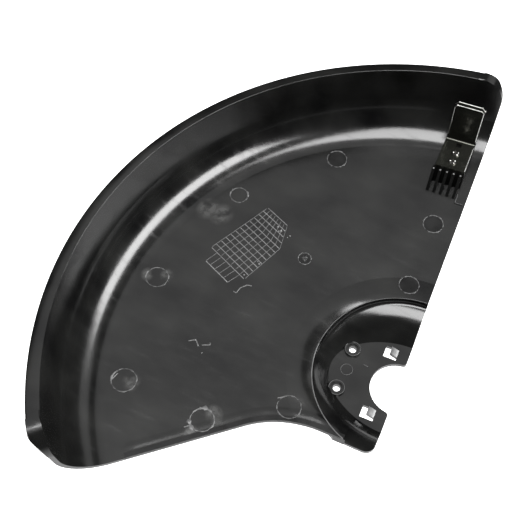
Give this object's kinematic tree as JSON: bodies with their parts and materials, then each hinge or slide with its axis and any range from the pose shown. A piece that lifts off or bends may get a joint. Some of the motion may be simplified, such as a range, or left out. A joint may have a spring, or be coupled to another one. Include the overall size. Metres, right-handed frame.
{
  "type": "trimmer blade guard",
  "caption": "Sector-shaped dish guard for a grass trimmer head, with a stepped hub plate, a shaft notch and a line-cutting blade near the rim.",
  "frame": {"origin": "on the trimmer's shaft axis, on the hub plate's seating face", "axes": "+Z along the shaft axis, towards the hollow side of the dish; +Y along the straight leading edge, from the hub to the rim; the dish lies on the -X side"},
  "size_m": [0.185, 0.3067, 0.0761],
  "materials": {
    "moulding": "satin",
    "blade_steel": "dark",
    "screw_steel": "bright"
  },
  "bodies": {
    "root": {"guard_shell": "moulding", "line_cutter_blade": "blade_steel", "cutter_screws": "screw_steel"}
  },
  "joints": []
}
